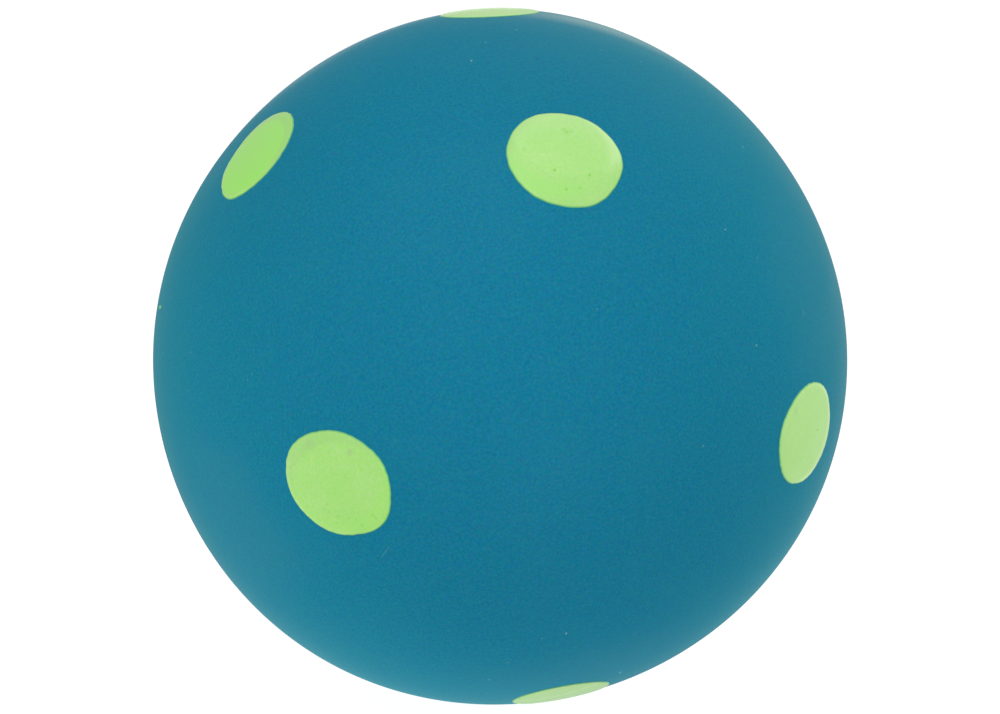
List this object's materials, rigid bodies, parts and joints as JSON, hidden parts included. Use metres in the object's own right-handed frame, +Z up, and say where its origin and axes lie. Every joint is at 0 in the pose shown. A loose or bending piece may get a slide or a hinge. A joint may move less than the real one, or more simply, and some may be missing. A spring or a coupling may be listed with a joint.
{
  "type": "dog ball",
  "caption": "Squeaky dog ball: hollow cast latex skin set with raised round dots, packed with fibre, with a push-in reed squeaker in the flat foot that it stands on.",
  "frame": {"origin": "middle of the flat foot that the ball stands on, at the face of the squeaker's flange", "axes": "+Z up through the top dot, -Y towards the side that the picture shows, +X to its right"},
  "size_m": [0.0701, 0.07, 0.0685],
  "materials": {
    "teal_latex": "matte",
    "lime_latex": "matte",
    "plug_plastic": "satin",
    "reed_plastic": "satin",
    "fibre": "matte"
  },
  "bodies": {
    "ball": {"skin": "teal_latex", "dot_top": "lime_latex", "dot_upper_1": "lime_latex", "dot_upper_2": "lime_latex", "dot_upper_3": "lime_latex", "dot_upper_4": "lime_latex", "dot_upper_5": "lime_latex", "dot_middle_1": "lime_latex", "dot_middle_2": "lime_latex", "dot_middle_3": "lime_latex", "dot_middle_4": "lime_latex", "dot_middle_5": "lime_latex", "dot_lower_1": "lime_latex", "dot_lower_2": "lime_latex", "dot_lower_3": "lime_latex", "dot_lower_4": "lime_latex", "dot_lower_5": "lime_latex", "squeaker_plug": "plug_plastic", "reed_bed": "reed_plastic", "reed_clamp": "plug_plastic", "fibre_guard": "plug_plastic", "fibre_filling": "fibre"},
    "reed": {"reed": "reed_plastic"}
  },
  "joints": [
    {"name": "reed_flex", "type": "hinge", "parent": "ball", "child": "reed", "pos_m": [0, 0, 0.005], "axis": [1, 0, 0], "range_deg": [-3.5, 3.5], "stiffness_Nm_per_rad": 0.0002}
  ]
}
